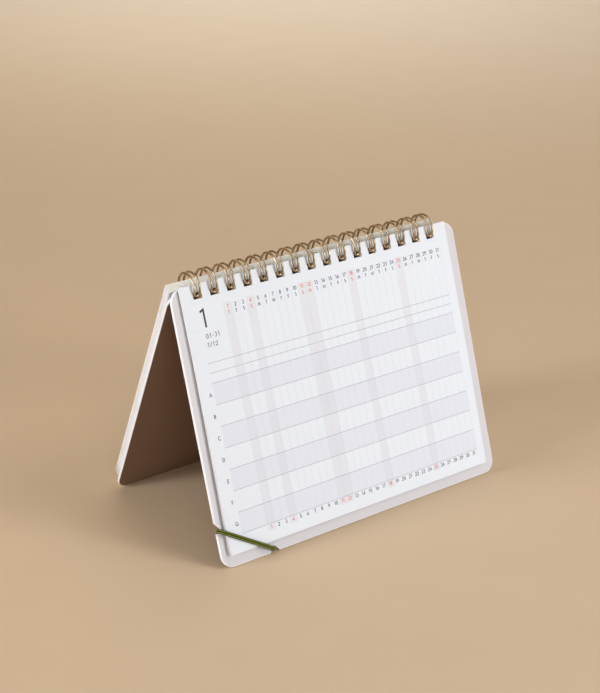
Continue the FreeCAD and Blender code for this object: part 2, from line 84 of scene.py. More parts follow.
# -------------------------------------------------------------- materials
class Nodes:
    """Small helper for building a material's node tree."""

    def __init__(self, name):
        self.mat = bpy.data.materials.new(name)
        self.mat.use_nodes = True
        self.t = self.mat.node_tree
        self.t.nodes.clear()
        self.out = self.t.nodes.new("ShaderNodeOutputMaterial")
        self.bsdf = self.t.nodes.new("ShaderNodeBsdfPrincipled")
        self.link(self.bsdf.outputs[0], self.out.inputs[0])

    def link(self, a, b):
        self.t.links.new(a, b)

    def new(self, kind, **values):
        n = self.t.nodes.new(kind)
        for k, v in values.items():
            if hasattr(n, k) and k not in n.inputs:
                setattr(n, k, v)
            else:
                n.inputs[k].default_value = v
        return n

    def coords(self, scale=(1, 1, 1), source="Object"):
        c = self.new("ShaderNodeTexCoord")
        m = self.new("ShaderNodeMapping")
        m.inputs["Scale"].default_value = scale
        self.link(c.outputs[source], m.inputs["Vector"])
        return m.outputs[0]

    def noise(self, vector, scale, detail=3.0, rough=0.55, distortion=0.0):
        n = self.new("ShaderNodeTexNoise")
        n.inputs["Scale"].default_value = scale
        n.inputs["Detail"].default_value = detail
        n.inputs["Roughness"].default_value = rough
        n.inputs["Distortion"].default_value = distortion
        self.link(vector, n.inputs["Vector"])
        return n.outputs["Fac"]

    def ramp(self, fac, stops):
        r = self.new("ShaderNodeValToRGB")
        els = r.color_ramp.elements
        while len(els) > 1:
            els.remove(els[-1])
        els[0].position, els[0].color = stops[0][0], stops[0][1]
        for pos, col in stops[1:]:
            e = els.new(pos)
            e.color = col
        self.link(fac, r.inputs["Fac"])
        return r.outputs["Color"]

    def mix(self, fac, a, b, blend="MIX"):
        m = self.new("ShaderNodeMix", data_type="RGBA", blend_type=blend)
        for value, socket in ((fac, m.inputs[0]), (a, m.inputs[6]), (b, m.inputs[7])):
            if isinstance(value, bpy.types.NodeSocket):
                self.link(value, socket)
            else:
                socket.default_value = value
        return m.outputs[2]

    def math(self, op, a, b=0.0, clamp=False):
        m = self.new("ShaderNodeMath", operation=op, use_clamp=clamp)
        for value, socket in ((a, m.inputs[0]), (b, m.inputs[1])):
            if isinstance(value, bpy.types.NodeSocket):
                self.link(value, socket)
            else:
                socket.default_value = value
        return m.outputs[0]

    def bump(self, height, strength, distance):
        b = self.new("ShaderNodeBump")
        b.inputs["Strength"].default_value = strength
        b.inputs["Distance"].default_value = distance
        self.link(height, b.inputs["Height"])
        self.link(b.outputs[0], self.bsdf.inputs["Normal"])


def lin(r, g, b, a=1.0):
    """sRGB 0-255 to linear."""
    def f(c):
        c /= 255.0
        return c / 12.92 if c <= 0.04045 else ((c + 0.055) / 1.055) ** 2.4
    return (f(r), f(g), f(b), a)


def paper(name, rgb, fleck=0.0, variation=0.03, rough=0.82, grain=1.0, warm=(0, 0, 0)):
    """Uncoated paper: cloudy formation, fine fibre grain, a few dark flecks."""
    m = Nodes(name)
    v = m.coords()
    cloud = m.noise(v, 90.0, 4.0, 0.6)
    fine = m.noise(v, 1500.0, 3.0, 0.6)
    dark = tuple(c * (1 - variation * 2.2) for c in rgb[:3]) + (1,)
    dark = tuple(max(0.0, d + w) for d, w in zip(dark[:3], warm)) + (1,)
    base = m.mix(m.math("MULTIPLY", m.math("ADD", m.math("MULTIPLY", cloud, 0.6), m.math("MULTIPLY", fine, 0.4)), 1.0, True), dark, tuple(min(1.0, c * (1 + variation)) for c in rgb[:3]) + (1,))
    if fleck:
        vor = m.new("ShaderNodeTexVoronoi")
        vor.inputs["Scale"].default_value = 260.0
        m.link(v, vor.inputs["Vector"])
        pick = m.new("ShaderNodeSeparateColor")
        m.link(vor.outputs["Color"], pick.inputs[0])
        near = m.math("LESS_THAN", vor.outputs["Distance"], 0.055)
        some = m.math("LESS_THAN", pick.outputs[0], 0.30)
        spot = m.math("MULTIPLY", m.math("MULTIPLY", near, some), fleck)
        base = m.mix(spot, base, tuple(c * 0.45 for c in rgb[:3]) + (1,))
    m.link(base, m.bsdf.inputs["Base Color"])
    m.link(m.ramp(fine, [(0.2, (rough - 0.08,) * 3 + (1,)), (0.8, (min(1, rough + 0.1),) * 3 + (1,))]), m.bsdf.inputs["Roughness"])
    m.bsdf.inputs["Specular IOR Level"].default_value = 0.25
    m.bump(m.math("ADD", m.math("MULTIPLY", fine, 0.7), m.math("MULTIPLY", m.noise(v, 420.0, 2.0), 0.5)), 0.25 * grain, 0.00012)
    return m.mat


def ink(name, rgb, variation=0.10):
    """Printed field or line: the colour sits in the paper, so it keeps its grain."""
    m = Nodes(name)
    v = m.coords()
    fine = m.noise(v, 2300.0, 3.0, 0.65)
    cloud = m.noise(v, 90.0, 4.0, 0.6)
    lo = tuple(c * (1 - variation) for c in rgb[:3]) + (1,)
    hi = tuple(min(1.0, c * (1 + variation * 0.6)) for c in rgb[:3]) + (1,)
    m.link(m.mix(m.math("ADD", m.math("MULTIPLY", fine, 0.6), m.math("MULTIPLY", cloud, 0.4)), lo, hi), m.bsdf.inputs["Base Color"])
    m.bsdf.inputs["Roughness"].default_value = 0.82
    m.bsdf.inputs["Specular IOR Level"].default_value = 0.2
    m.bump(m.noise(v, 1500.0, 3.0, 0.6), 0.2, 0.0001)
    return m.mat


def book_cloth(name, rgb):
    """Brown with cloudy and fine streaky grain on the inner, tent-side faces of the boards."""
    m = Nodes(name)
    v = m.coords()
    cloud = m.noise(v, 60.0, 4.0, 0.6)
    fine = m.noise(m.coords((1.0, 3.0, 3.0)), 900.0, 3.0, 0.6)
    lo = tuple(c * 0.78 for c in rgb[:3]) + (1,)
    hi = tuple(min(1.0, c * 1.12) for c in rgb[:3]) + (1,)
    m.link(m.mix(m.math("ADD", m.math("MULTIPLY", cloud, 0.45), m.math("MULTIPLY", fine, 0.55)), lo, hi), m.bsdf.inputs["Base Color"])
    m.link(m.ramp(fine, [(0.2, (0.6, 0.6, 0.6, 1)), (0.8, (0.82, 0.82, 0.82, 1))]), m.bsdf.inputs["Roughness"])
    m.bsdf.inputs["Specular IOR Level"].default_value = 0.3
    m.bump(fine, 0.35, 0.00015)
    return m.mat


def bronze(name):
    """Antique bronze lacquer on round steel wire."""
    m = Nodes(name)
    v = m.coords()
    cloud = m.noise(v, 160.0, 4.0, 0.6)
    fine = m.noise(v, 1400.0, 3.0, 0.6)
    tone = m.math("ADD", m.math("MULTIPLY", cloud, 0.7), m.math("MULTIPLY", fine, 0.3))
    m.link(m.ramp(tone, [(0.30, lin(118, 90, 52)), (0.52, lin(172, 146, 102)), (0.72, lin(222, 208, 174))]), m.bsdf.inputs["Base Color"])
    m.link(m.ramp(fine, [(0.25, (0.24, 0.24, 0.24, 1)), (0.8, (0.40, 0.40, 0.40, 1))]), m.bsdf.inputs["Roughness"])
    m.bsdf.inputs["Metallic"].default_value = 0.9
    m.bsdf.inputs["Coat Weight"].default_value = 1.0
    m.bsdf.inputs["Coat IOR"].default_value = 1.9
    m.bsdf.inputs["Coat Roughness"].default_value = 0.14
    m.bump(fine, 0.15, 0.00006)
    return m.mat


def braid(name, rgb, rgb_dark):
    """Braided cover of the elastic. UV.x runs along the cord in turns, UV.y round it."""
    m = Nodes(name)
    uv = m.new("ShaderNodeTexCoord").outputs["UV"]
    sep = m.new("ShaderNodeSeparateXYZ")
    m.link(uv, sep.inputs[0])
    x, y = sep.outputs[0], sep.outputs[1]
    a = m.math("SINE", m.math("MULTIPLY", m.math("ADD", m.math("MULTIPLY", x, 2.5), m.math("MULTIPLY", y, 5.0)), 2 * math.pi))
    b = m.math("SINE", m.math("MULTIPLY", m.math("SUBTRACT", m.math("MULTIPLY", x, 2.5), m.math("MULTIPLY", y, 5.0)), 2 * math.pi))
    weave = m.math("MULTIPLY", m.math("ADD", m.math("MAXIMUM", a, b), 1.0), 0.5)
    v = m.coords()
    fine = m.noise(v, 2600.0, 3.0, 0.6)
    tone = m.math("ADD", m.math("MULTIPLY", weave, 0.72), m.math("MULTIPLY", fine, 0.28))
    # painted shade: the cover is darkened on both flanks of each strand, in the groove between the two strands and
    # along the cord's outer edges
    painted_groove_shade = m.math("POWER", m.math("ABSOLUTE", m.math("COSINE", m.math("MULTIPLY", y, 2 * math.pi))), 1.6)
    tone = m.math("SUBTRACT", tone, m.math("MULTIPLY", painted_groove_shade, 0.75), True)
    m.link(m.ramp(tone, [(0.10, rgb_dark), (0.85, rgb)]), m.bsdf.inputs["Base Color"])
    m.bsdf.inputs["Roughness"].default_value = 0.78
    m.bsdf.inputs["Specular IOR Level"].default_value = 0.3
    m.bump(tone, 0.7, 0.0002)
    return m.mat


PAPER = paper("paper_sheet", lin(231, 239, 246), fleck=0.5, variation=0.018)
PAPER_EDGE = paper("paper_cut_edge", lin(250, 250, 250), variation=0.04)
PAPER_EDGE_TOP = paper("paper_top_edge", lin(254, 251, 234), variation=0.03)
BOARD_FACE = paper("board_lining_paper", lin(216, 216, 220), fleck=0.7, variation=0.03)
# pale cut-edge paper, also laid over the rounded rims of the faces as a painted highlight
BOARD_EDGE_AND_RIM_HIGHLIGHT = paper("board_edge_paper_and_painted_rim_highlight", lin(244, 248, 255), variation=0.02)
BOARD_COVER = book_cloth("board_tent_side_brown", lin(146, 118, 98))
WIRE = bronze("bronze_wire")
# the near-black second colour is the braid's dark weave and also the painted shade in its groove and along its edges
CORD = braid("elastic_braid", lin(136, 148, 56), lin(16, 20, 4))
INK_DARK = ink("ink_numeral", lin(66, 67, 84))
INK_GREY = ink("ink_small_figures", lin(96, 97, 110))
INK_RED = ink("ink_rest_day", lin(228, 118, 90))
INK_RULE = ink("ink_rules", lin(170, 172, 183))
INK_DOT = ink("ink_dotted_lines", lin(203, 206, 213))
TINT_ROW = ink("tint_rows", lin(224, 231, 241), 0.02)
TINT_BAND = ink("tint_rest_day_columns", lin(225, 230, 237), 0.02)
TINT_BOTH = ink("tint_rest_day_on_row", lin(220, 226, 234), 0.02)


# ---------------------------------------------------------------- helpers
def link_object(name, mesh, body, mats, stands_for=()):
    obj = bpy.data.objects.new(name, mesh)
    scene.collection.objects.link(obj)
    for m in mats:
        mesh.materials.append(m)
    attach(obj, body)
    if stands_for:
        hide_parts(*stands_for)
    return obj


def plate_mesh(name, loops, low, high, bevel=0.0):
    """Flat plate from closed outlines in mm (the first is the outside, the
    others are holes), from z = low to z = high, with a rounded rim."""
    curve = bpy.data.curves.new(name, "CURVE")
    curve.dimensions = "2D"
    curve.fill_mode = "BOTH"
    curve.resolution_u = 1
    curve.extrude = max((high - low) / 2 - bevel, 0.0005)
    curve.bevel_depth = bevel
    curve.bevel_resolution = 2
    curve.offset = -bevel
    for loop in loops:
        sp = curve.splines.new("POLY")
        sp.points.add(len(loop) - 1)
        for p, (x, y) in zip(sp.points, loop):
            p.co = (x, y, 0, 1)
        sp.use_cyclic_u = True
    obj = bpy.data.objects.new(name, curve)
    scene.collection.objects.link(obj)
    bpy.context.view_layer.update()
    dg = bpy.context.evaluated_depsgraph_get()
    mesh = bpy.data.meshes.new_from_object(obj.evaluated_get(dg))
    bpy.data.objects.remove(obj)
    bpy.data.curves.remove(curve)
    bm = bmesh.new()
    bm.from_mesh(mesh)
    bmesh.ops.remove_doubles(bm, verts=bm.verts, dist=1e-4)
    bmesh.ops.translate(bm, verts=bm.verts, vec=(0, 0, (low + high) / 2))
    bmesh.ops.recalc_face_normals(bm, faces=bm.faces)
    bm.to_mesh(mesh)
    bm.free()
    return mesh


def cut_at(mesh, heights):
    """Cuts a mesh along v = height, so that it can follow the bend."""
    bm = bmesh.new()
    bm.from_mesh(mesh)
    for v in heights:
        bmesh.ops.bisect_plane(bm, geom=bm.verts[:] + bm.edges[:] + bm.faces[:], dist=1e-5, plane_co=(0, v, 0), plane_no=(0, 1, 0))
    bm.to_mesh(mesh)
    bm.free()


def place(mesh, where):
    """Moves a mesh's vertices from leaf mm to the row frame in metres."""
    co = np.empty(len(mesh.vertices) * 3)
    mesh.vertices.foreach_get("co", co)
    new = where(co.reshape(-1, 3)) * MM
    mesh.vertices.foreach_set("co", new.ravel())
    mesh.update()


def sort_faces(mesh, chooser):
    mesh.update()
    for p in mesh.polygons:
        p.material_index = chooser(p.normal, p.center)


def arc(cx, cy, r, a0, a1, steps):
    return [(cx + r * math.cos(math.radians(a0 + (a1 - a0) * i / steps)), cy + r * math.sin(math.radians(a0 + (a1 - a0) * i / steps))) for i in range(steps + 1)]


def rounded(x0, y0, x1, y1, r, steps=4):
    return arc(x1 - r, y0 + r, r, -90, 0, steps) + arc(x1 - r, y1 - r, r, 0, 90, steps) + arc(x0 + r, y1 - r, r, 90, 180, steps) + arc(x0 + r, y0 + r, r, 180, 270, steps)


PITCH, COUNT = 8.4667, 16
HOLE_U = [-0.9 + PITCH * (k - 7.5) for k in range(COUNT)]


def holes(v0, v1, r=0.35, du=0.0):
    return [rounded(u - 2.2 + du, v0, u + 2.2 + du, v1, r, 3) for u in HOLE_U]


# ----------------------------------------------------------------- boards
HALF, TALL = 77.3, 120.2


NOTCH_R = 1.45
SIDE_NOTCH, FOOT_NOTCH = (-76.3246, 17.2408), (-50.9754, 1.4092)


def notch(centre, low, high, mouth):
    """Open notch: a mouth corner, a straight wall, the round inner end, the
    other wall and the other mouth corner. low and high are the directions of
    the walls in degrees; mouth gives the run of a wall's end to the rim."""
    inner = arc(*centre, NOTCH_R, high - 90, low + 90, 12)
    first, last = np.array(inner[0]), np.array(inner[-1])
    ways = [np.array([math.cos(math.radians(d)), math.sin(math.radians(d))]) for d in (high, low)]
    return [tuple(first + ways[0] * mouth(first, ways[0]))] + inner + [tuple(last + ways[1] * mouth(last, ways[1]))]


def board_outline(shift, notched, lean):
    """Corners rounded to 6 mm; the sides are cut in steps, so that they can lean."""
    x0, x1 = -HALF + shift, HALF + shift
    pts = arc(x0 + 6, 6, 6, 180, 270, 14)
    if notched:
        pts += notch(FOOT_NOTCH, -51, 260, lambda p, d: -p[1] / d[1])
    pts += arc(x1 - 6, 6, 6, 270, 360, 14)
    pts += [(x1, v) for v in range(16, 112, 8)]
    pts += arc(x1 - 6, TALL - 6, 6, 0, 90, 14)
    pts += arc(x0 + 6, TALL - 6, 6, 90, 180, 14)
    pts += [(x0, v) for v in range(108, 26, -8)]
    if notched:
        pts += notch(SIDE_NOTCH, 170 - 360, 130, lambda p, d: (x0 - p[0]) / d[0])
    return [(u + lean(v), v) for u, v in pts]


def board(name, body, node, notched, shift, where, low, high, page_side_up, lean):
    mesh = plate_mesh(name, [board_outline(shift, notched, lean)] + holes(113.1, 117.1, 0.3), low, high, 0.42)

    def choose(n, c):
        # cut edges and rounded rims get the pale edge paper: real on the cut edge, a painted highlight on the rim
        if abs(n.z) < 0.985:
            return 2
        up = n.z > 0
        return 0 if up == page_side_up else 1

    sort_faces(mesh, choose)
    place(mesh, where)
    return link_object(name, mesh, body, [BOARD_FACE, BOARD_COVER, BOARD_EDGE_AND_RIM_HIGHLIGHT], (node,))


# Neither board is cut quite square: their sides lean by up to a millimetre.
board("front_board", "front_leaf", "front_cover_board", True, 0.0, front, -BOARD_T, 0.0, True, lambda v: 0.0095 * max(0.0, v - 20.0))
board("rear_board", "rear_leaf", "rear_cover_board", False, 1.4, rear, 0.0, BOARD_T, True, lambda v: 0.0165 * (v - 66.0))

# ----------------------------------------------------------------- sheets
rng = random.Random(11)
PAGE_LOW, PAGE_TOP = 5.55, 120.75
SHEET = 0.105


def edge_run(side, low, top, lean, steps=14):
    """Side edge of a sheet from low to top; lean(v) is its shift at height v."""
    return [(side + lean(low + (top - low) * i / steps), low + (top - low) * i / steps) for i in range(steps + 1)]


def sheets(name, body, node, slabs, where, edge_mats):
    """slabs: (left, right, low, top, hole low, hole top, hole shift, n low, n high, lean)"""
    bm = bmesh.new()
    for left, right, low, top, h0, h1, hole_du, n0, n1, lean in slabs:
        outline = edge_run(right, low, top, lean) + edge_run(left, low, top, lean)[::-1]
        m = plate_mesh("sheet", [outline] + holes(h0, h1, 0.35, hole_du), n0, n1)
        if where is page:
            cut_at(m, BEND_V)
        sort_faces(m, lambda n, c: 0 if abs(n.z) > 0.7 else 2 if n.y > 0.7 and where is rear else 1)
        bm.from_mesh(m)
        bpy.data.meshes.remove(m)
    mesh = bpy.data.meshes.new(name)
    bm.to_mesh(mesh)
    bm.free()
    place(mesh, where)
    return link_object(name, mesh, body, [PAPER] + edge_mats, (node,))


# The elastic has drawn the sheets to the left at their foot, the lower
# sheets more than the top one.
def drawn(amount, start, power):
    return lambda v: -amount * max(0.0, (start - v) / (start - 7.0)) ** power


front_slabs = []
for i in range(7):
    n0 = 1.15 + i * (0.9 - 0.02 - SHEET) / 6
    top = i == 6
    t = i / 6
    dv = 0.0 if top else rng.uniform(-0.02, 0.12)
    left = -72.66 * (1 - t) - 72.84 * t + (0.0 if i in (0, 6) else rng.uniform(-0.03, 0.05))
    front_slabs.append((left, left + 144.95, PAGE_LOW + dv, PAGE_TOP - 0.12 + dv, 113.95 + 0.55 * t, 117.3 + 0.3 * t, -0.12, n0, n0 + SHEET, drawn(1.45 * (1 - t) + 0.75 * t, 85 * (1 - t) + 60 * t, 1.15 * (1 - t) + 1.0 * t)))
front_sheets = sheets("front_sheets", "front_leaf", "front_page_pad", front_slabs, page, [PAPER_EDGE, PAPER_EDGE_TOP])

REAR_L, REAR_R = -75.5, 69.5
REAR_SHEET = 0.146
rear_slabs = []


def rear_lean(v):
    return 0.017 * (v - 66.0) + 0.55


n = 1.72
layout = [1, 1, 1, 5, 1, 1, 4, 1, 1, 3, 1, 2, 1, 3, 1, 2, 1, 2, 1, 1, 1, 1, 1, 1, 0]
scale = (5.58 - 1.72 - len(layout) * REAR_SHEET) / sum(layout)
for i, gap in enumerate(layout):
    lean = 1.1 * (n - 1.7) / 3.9
    du, dv = rng.uniform(-0.0, 0.22), rng.uniform(-0.10, 0.0)
    if i > 19:
        du *= 0.3
        dv *= 0.4
    rear_slabs.append((REAR_L + du, REAR_R + du - 0.22, 5.95 + lean + dv, 121.15 + lean + dv, 114.6 + lean, 118.75 + lean, 0.0, n, n + REAR_SHEET, rear_lean))
    n += REAR_SHEET + gap * scale
# the rest of the stack, a little shorter, between the sheets that stand out
for i in range(8):
    n0 = 1.75 + 3.78 * i / 8
    lean = 1.1 * (n0 + 0.2 - 1.7) / 3.9
    rear_slabs.append((REAR_L + 0.34, REAR_R - 0.4, 6.2 + lean, 120.85 + lean, 114.5 + lean, 118.85 + lean, 0.0, n0, n0 + 0.4725, rear_lean))
turned_sheets = sheets("turned_sheets", "turned_pages", "turned_page_pad", rear_slabs, rear, [PAPER_EDGE, PAPER_EDGE_TOP])

# ------------------------------------------------------------------ print
TOP = 1.15 + (0.9 - 0.02 - SHEET) + SHEET
LAYER = {"row": TOP + 0.004, "band": TOP + 0.008, "rule": TOP + 0.012, "figure": TOP + 0.016}


class Flat:
    """Collects flat quads on the page for one printed piece."""

    def __init__(self):
        self.v, self.f = [], []

    def quad(self, a, b, c, d, n):
        i = len(self.v)
        self.v += [(a[0], a[1], n), (b[0], b[1], n), (c[0], c[1], n), (d[0], d[1], n)]
        self.f.append((i, i + 1, i + 2, i + 3))

    def rect(self, x0, y0, x1, y1, n):
        self.quad((x0, y0), (x1, y0), (x1, y1), (x0, y1), n)

    def stroke(self, pts, width, n, closed=False):
        """Line of constant width with mitred corners."""
        pts = [np.array(p, float) for p in pts]
        m = len(pts)
        left, right = [], []
        for k in range(m):
            a = pts[k - 1] if (k or closed) else None
            b = pts[(k + 1) % m] if (k < m - 1 or closed) else None
            d0 = (pts[k] - a) / np.linalg.norm(pts[k] - a) if a is not None else None
            d1 = (b - pts[k]) / np.linalg.norm(b - pts[k]) if b is not None else None
            d0 = d1 if d0 is None else d0
            d1 = d0 if d1 is None else d1
            t = d0 + d1
            t = t / max(np.linalg.norm(t), 1e-6)
            nrm = np.array([-t[1], t[0]])
            cosh = max(0.45, float(nrm @ np.array([-d0[1], d0[0]])))
            off = nrm * width / 2 / cosh
            left.append(pts[k] + off)
            right.append(pts[k] - off)
        rng_k = range(m) if closed else range(m - 1)
        for k in rng_k:
            j = (k + 1) % m
            self.quad(right[k], right[j], left[j], left[k], n)

    def build(self, name, mat):
        mesh = bpy.data.meshes.new(name)
        mesh.from_pydata([tuple(x) for x in self.v], [], self.f)
        cut_at(mesh, BEND_V)
        place(mesh, page)
        return link_object(name, mesh, "front_leaf", [mat])


def ell(cx, cy, rx, ry, a0, a1, steps=12):
    return [(cx + rx * math.cos(math.radians(a0 + (a1 - a0) * i / steps)), cy + ry * math.sin(math.radians(a0 + (a1 - a0) * i / steps))) for i in range(steps + 1)]


# Plain geometric figures, height 1: (width, [(points, closed)])
GLYPH = {
    "0": (0.60, [(ell(0.30, 0.5, 0.25, 0.46, 0, 345, 23), True)]),
    "1": (0.40, [([(0.04, 0.80), (0.26, 0.96), (0.26, 0.0)], False)]),
    "2": (0.58, [(ell(0.29, 0.70, 0.235, 0.26, 165, -28, 12) + [(0.06, 0.04), (0.56, 0.04)], False)]),
    "3": (0.56, [(ell(0.26, 0.735, 0.20, 0.22, 150, -90, 12), False), (ell(0.26, 0.275, 0.24, 0.235, 90, -150, 12), False)]),
    "4": (0.62, [([(0.46, 0.0), (0.46, 0.95), (0.04, 0.26), (0.60, 0.26)], False)]),
    "5": (0.58, [([(0.52, 0.955), (0.20, 0.955), (0.13, 0.54)] + ell(0.27, 0.31, 0.26, 0.265, 110, -140, 14), False)]),
    "6": (0.60, [([(0.46, 0.97), (0.11, 0.44)], False), (ell(0.30, 0.29, 0.245, 0.25, 0, 345, 20), True)]),
    "7": (0.56, [([(0.03, 0.955), (0.54, 0.955), (0.16, 0.0)], False)]),
    "8": (0.58, [(ell(0.29, 0.745, 0.19, 0.205, 0, 345, 18), True), (ell(0.29, 0.285, 0.235, 0.245, 0, 345, 20), True)]),
    "9": (0.60, [([(0.14, 0.03), (0.49, 0.56)], False), (ell(0.30, 0.71, 0.245, 0.25, 0, 345, 20), True)]),
    "-": (0.36, [([(0.02, 0.45), (0.34, 0.45)], False)]),
    "/": (0.42, [([(0.02, -0.05), (0.40, 1.02)], False)]),
    "A": (0.76, [([(0.02, 0.0), (0.38, 0.98), (0.74, 0.0)], False), ([(0.16, 0.34), (0.60, 0.34)], False)]),
    "B": (0.56, [([(0.08, 0.0), (0.08, 0.96)], False), ([(0.08, 0.955), (0.24, 0.955)] + ell(0.25, 0.745, 0.19, 0.21, 85, -85, 8) + [(0.08, 0.53)], False), ([(0.08, 0.53)] + ell(0.27, 0.285, 0.23, 0.245, 88, -88, 10) + [(0.08, 0.04)], False)]),
    "C": (0.78, [(ell(0.46, 0.5, 0.40, 0.46, 50, 310, 20), False)]),
    "D": (0.74, [([(0.08, 0.04), (0.08, 0.955), (0.24, 0.955)] + ell(0.26, 0.4975, 0.40, 0.4575, 88, -88, 16) + [(0.24, 0.04), (0.08, 0.04)], False)]),
    "E": (0.50, [([(0.48, 0.955), (0.08, 0.955), (0.08, 0.04), (0.48, 0.04)], False), ([(0.08, 0.52), (0.46, 0.52)], False)]),
    "F": (0.48, [([(0.46, 0.955), (0.08, 0.955), (0.08, 0.0)], False), ([(0.08, 0.50), (0.44, 0.50)], False)]),
    "G": (0.84, [(ell(0.46, 0.5, 0.40, 0.46, 50, 350, 22) + [(0.50, 0.44)], False)]),
    "M": (0.92, [([(0.06, 0.0), (0.18, 0.95), (0.46, 0.20), (0.74, 0.95), (0.86, 0.0)], False)]),
    "S": (0.52, [(ell(0.25, 0.73, 0.19, 0.225, 40, 235, 12)[:-1] + ell(0.26, 0.275, 0.215, 0.235, 65, -145, 14), False)]),
    "T": (0.56, [([(0.02, 0.955), (0.54, 0.955)], False), ([(0.28, 0.95), (0.28, 0.0)], False)]),
    "W": (1.04, [([(0.03, 0.97), (0.28, 0.05), (0.52, 0.85), (0.76, 0.05), (1.01, 0.97)], False)]),
}


def text(flat, word, cx, cy, height, weight, n, gap=0.12):
    """Word centred on cx with its mid-height at cy."""
    total = sum(GLYPH[c][0] for c in word) + gap * (len(word) - 1)
    x = cx - total * height / 2
    y = cy - height / 2
    for c in word:
        w, strokes = GLYPH[c]
        for pts, closed in strokes:
            flat.stroke([(x + px * height, y + py * height) for px, py in pts], weight, n, closed)
        x += (w + gap) * height


DAY1, STEP = -51.1, 3.875
DAY = [DAY1 + STEP * k for k in range(31)]
REST_DAYS = {1, 4, 11, 12, 18, 25}
RULES = [87.05, 82.85, 78.6, 69.35, 60.05, 50.7, 41.3, 32.0, 22.6, 13.25]
GRID_L, GRID_R = -66.1, 67.3
GRID_TOP, BAND_LOW = 110.25, 10.0
SHADED = [(78.6, 69.35), (60.05, 50.7), (41.3, 32.0), (22.6, 13.25)]

rows = Flat()
for hi, lo in SHADED:
    rows.rect(GRID_L, lo, GRID_R, hi, LAYER["row"])
rows.build("print_shaded_rows", TINT_ROW)

bands, crossed = Flat(), Flat()
for d in sorted(REST_DAYS):
    x0, x1 = DAY[d - 1] - STEP / 2 - 0.06, DAY[d - 1] + STEP / 2 + 0.06
    y = GRID_TOP
    for hi, lo in SHADED:
        bands.rect(x0, hi, x1, y, LAYER["band"])
        crossed.rect(x0, lo, x1, hi, LAYER["band"])
        y = lo
    bands.rect(x0, BAND_LOW, x1, y, LAYER["band"])
bands.build("print_rest_day_bands", TINT_BAND)
crossed.build("print_rest_day_bands_on_rows", TINT_BOTH)

rules = Flat()
for y in RULES:
    rules.rect(GRID_L, y - 0.10, GRID_R, y + 0.10, LAYER["rule"])
rules.build("print_rules", INK_RULE)

dots = Flat()
for k in range(32):
    x = DAY1 - STEP / 2 + STEP * k
    y = GRID_TOP - 0.2
    while y > 13.6:
        dots.rect(x - 0.085, y - 0.34, x + 0.085, y, LAYER["rule"])
        y -= 0.72
dots.build("print_dotted_columns", INK_DOT)

numeral = Flat()
numeral.stroke([(-65.1, 108.8), (-63.33, 109.66), (-63.33, 102.0)], 0.86, LAYER["figure"])
numeral.build("print_month_numeral", INK_DARK)

small, red = Flat(), Flat()
WEEK = "TFSSMTW"
for k, x in enumerate(DAY):
    d = k + 1
    flat = red if d in REST_DAYS else small
    text(flat, str(d), x, 108.55, 1.62, 0.28, LAYER["figure"])
    text(flat, WEEK[k % 7], x, 105.85, 1.55, 0.27, LAYER["figure"])
    text(flat, str(d), x - 0.15, 11.75, 1.62, 0.28, LAYER["figure"])
mids = [(RULES[i] + RULES[i + 1]) / 2 for i in range(2, 9)]
for c, y in zip("ABCDEFG", mids):
    text(small, c, -67.85, y, 1.65, 0.30, LAYER["figure"])
# plain numbers where a calendar names its month and year
text(small, "01-31", -61.0, 98.3, 1.9, 0.28, LAYER["figure"], 0.30)
text(small, "1/12", -61.9, 94.6, 1.9, 0.28, LAYER["figure"], 0.30)
small.build("print_figures", INK_GREY)
red.build("print_rest_day_figures", INK_RED)

